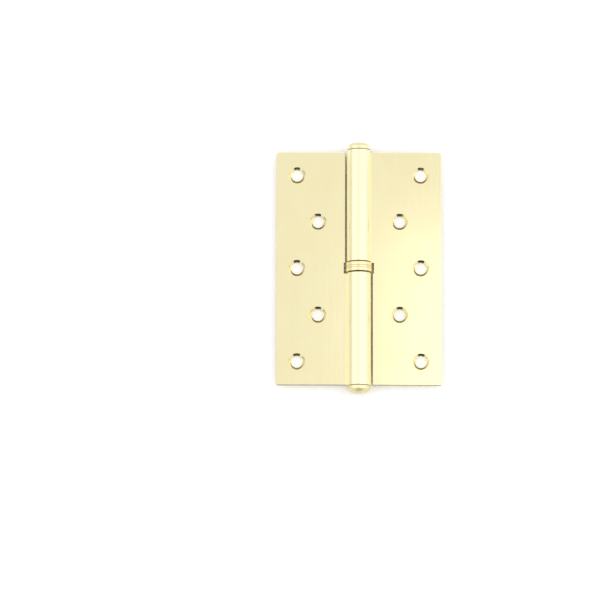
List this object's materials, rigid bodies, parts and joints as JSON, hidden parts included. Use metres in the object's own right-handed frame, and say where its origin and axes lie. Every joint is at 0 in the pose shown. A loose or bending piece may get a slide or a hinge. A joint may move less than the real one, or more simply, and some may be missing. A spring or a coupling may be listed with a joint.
{
  "type": "lift-off mortise hinge",
  "caption": "Lift-off mortise hinge with rolled knuckles on a fixed pin, a ball thrust bearing between them, capped barrel ends and countersunk screw holes in a zigzag on each flat leaf.",
  "frame": {"origin": "under the middle of the hinge, at the back of the bearing ring, on the surface it lies on", "axes": "+X from the fixed leaf to the door leaf, +Y along the pin to its free end, +Z out of the leaf faces"},
  "size_m": [0.07, 0.1066, 0.0108],
  "materials": {
    "brass_plated_steel": "polished plating",
    "pressed_brass": "satin",
    "bright_steel": "ground",
    "bearing_steel": "polished"
  },
  "bodies": {
    "fixed_leaf": {"fixed_leaf": "brass_plated_steel", "hinge_pin": "bright_steel", "lower_cap": "brass_plated_steel", "bearing_lower_race": "brass_plated_steel"},
    "ball_cage": {"bearing_cage": "pressed_brass", "bearing_ball_1": "bearing_steel", "bearing_ball_2": "bearing_steel", "bearing_ball_3": "bearing_steel", "bearing_ball_4": "bearing_steel", "bearing_ball_5": "bearing_steel"},
    "turning_race": {"bearing_upper_race": "brass_plated_steel"},
    "door_leaf": {"door_leaf": "brass_plated_steel", "upper_cap": "brass_plated_steel"}
  },
  "joints": [
    {"name": "swing", "type": "hinge", "parent": "fixed_leaf", "child": "turning_race", "pos_m": [0, 0, 0.0054], "axis": [0, -1, 0], "range_deg": [-112, 183]},
    {"name": "cage_roll", "type": "hinge", "parent": "fixed_leaf", "child": "ball_cage", "pos_m": [0, 0, 0.0054], "axis": [0, -1, 0], "range_deg": [-56, 91.5]},
    {"name": "lift_off", "type": "slide", "parent": "turning_race", "child": "door_leaf", "axis": [0, 1, 0], "range_m": [0, 0.04]}
  ],
  "couplings": [
    {"joint": "cage_roll", "follows": "swing", "ratio": 0.5}
  ]
}
